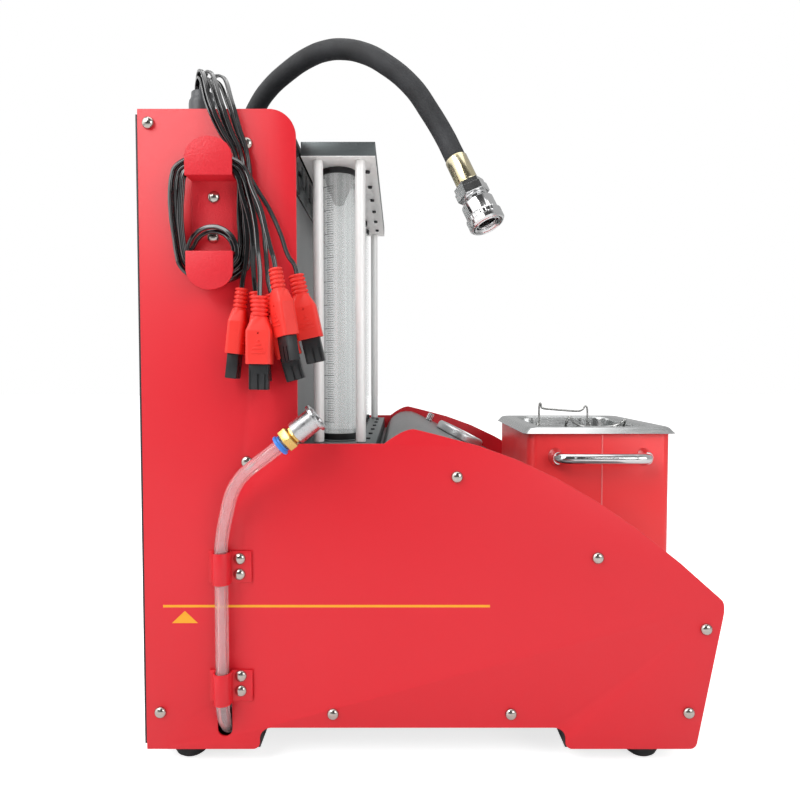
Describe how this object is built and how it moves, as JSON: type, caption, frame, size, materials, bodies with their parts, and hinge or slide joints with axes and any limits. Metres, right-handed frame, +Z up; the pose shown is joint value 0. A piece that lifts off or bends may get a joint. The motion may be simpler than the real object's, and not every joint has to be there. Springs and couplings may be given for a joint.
{
  "type": "fuel injector tester",
  "caption": "Benchtop tester for fuel injectors: glass measuring tubes in a rack, sheet-metal casing, pressure gauge, hose with quick coupler, wound injector leads and a small ultrasonic bath.",
  "frame": {"origin": "bottom centre of the machine without its free cords, on the surface that the feet stand on", "axes": "+X towards the operator, where the bath stands; +Y towards the panel on the operator's right; +Z up"},
  "size_m": [0.4656, 0.3809, 0.5757],
  "materials": {
    "red_paint": "fine textured powder coat",
    "grey_paint": "satin",
    "dark_paint": "fine textured powder coat",
    "display": "gloss",
    "black_rubber": "matte",
    "anodised": "satin anodised",
    "stainless": "brushed",
    "glass": "clear",
    "clear_hose": "clear",
    "blue_plastic": "semi-gloss",
    "brass": "plated",
    "chrome": "polished",
    "black_plastic": "satin",
    "red_plastic": "soft satin",
    "circuit_board": "solder mask"
  },
  "bodies": {
    "tester": {"left_side_panel": "red_paint", "right_side_panel": "red_paint", "cable_winder": "red_paint", "hose_clip_lower": "red_paint", "hose_clip_upper": "red_paint", "column_panel": "grey_paint", "front_cover": "grey_paint", "bath_bay": "grey_paint", "lead_gland": "grey_paint", "back_cover": "dark_paint", "top_cover": "dark_paint", "base_tray": "dark_paint", "display_panel": "display", "foot_1": "black_rubber", "foot_2": "black_rubber", "foot_3": "black_rubber", "foot_4": "black_rubber", "fuel_hose": "black_rubber", "injector_leads": "black_rubber", "rack_top_plate": "anodised", "rack_base_block": "anodised", "rack_pillar_1": "stainless", "rack_pillar_2": "stainless", "rack_pillar_3": "stainless", "rack_pillar_4": "stainless", "drain_cup": "stainless", "fuel_tank": "stainless", "fuel_pump": "stainless", "glass_tube_1": "glass", "glass_tube_2": "glass", "glass_tube_3": "glass", "glass_tube_4": "glass", "glass_tube_5": "glass", "glass_tube_6": "glass", "drain_hose": "clear_hose", "drain_fitting": "brass", "hose_ferrule": "brass", "coupler_body": "chrome", "pressure_gauge": "chrome", "hose_gland": "black_plastic", "mains_inlet": "black_plastic", "injector_plug_1": "red_plastic", "injector_plug_2": "red_plastic", "injector_plug_3": "red_plastic", "injector_plug_4": "red_plastic", "injector_plug_5": "red_plastic", "injector_plug_6": "red_plastic", "control_board": "circuit_board"},
    "sleeve": {"coupler_sleeve": "chrome"},
    "collar": {"drain_collar": "blue_plastic"},
    "switch": {"power_switch": "black_plastic"},
    "knob": {"pressure_knob": "chrome"},
    "needle": {"gauge_needle": "black_plastic"},
    "bath": {"bath_housing": "red_paint", "bath_tank": "stainless", "bath_handle_near": "chrome", "bath_handle_far": "chrome"},
    "basket": {"basket": "stainless"},
    "near_bail": {"basket_handle_near": "stainless"},
    "far_bail": {"basket_handle_far": "stainless"}
  },
  "joints": [
    {"name": "sleeve_slide", "type": "slide", "parent": "tester", "child": "sleeve", "axis": [-0.3762, 0.2692, 0.8866], "range_m": [0, 0.003], "stiffness_N_per_m": 600},
    {"name": "collar_press", "type": "slide", "parent": "tester", "child": "collar", "axis": [0.787, 0, 0.617], "range_m": [0, 0.001], "stiffness_N_per_m": 600},
    {"name": "switch_rock", "type": "hinge", "parent": "tester", "child": "switch", "pos_m": [-0.22844, -0.0985, 0.118], "axis": [0, 1, 0], "range_deg": [-16, 0]},
    {"name": "knob_turn", "type": "hinge", "parent": "tester", "child": "knob", "pos_m": [0.00499, 0.1395, 0.24533], "axis": [0.4478, 0, 0.8942], "range_deg": [-270, 0]},
    {"name": "needle_swing", "type": "hinge", "parent": "tester", "child": "needle", "pos_m": [0.03599, 0.0885, 0.2298], "axis": [0.4478, 0, 0.8942], "range_deg": [-270, 0]},
    {"name": "bath_lift", "type": "slide", "parent": "tester", "child": "bath", "axis": [0, 0, 1], "range_m": [0, 0.22]},
    {"name": "basket_lift", "type": "slide", "parent": "bath", "child": "basket", "axis": [0, 0, 1], "range_m": [0, 0.11]},
    {"name": "near_bail_fold", "type": "hinge", "parent": "basket", "child": "near_bail", "pos_m": [0.16026, -0.0007, 0.2403], "axis": [1, 0, 0], "range_deg": [-120, 2]},
    {"name": "far_bail_fold", "type": "hinge", "parent": "basket", "child": "far_bail", "pos_m": [0.16026, 0.1157, 0.2403], "axis": [1, 0, 0], "range_deg": [-42, 78]}
  ]
}
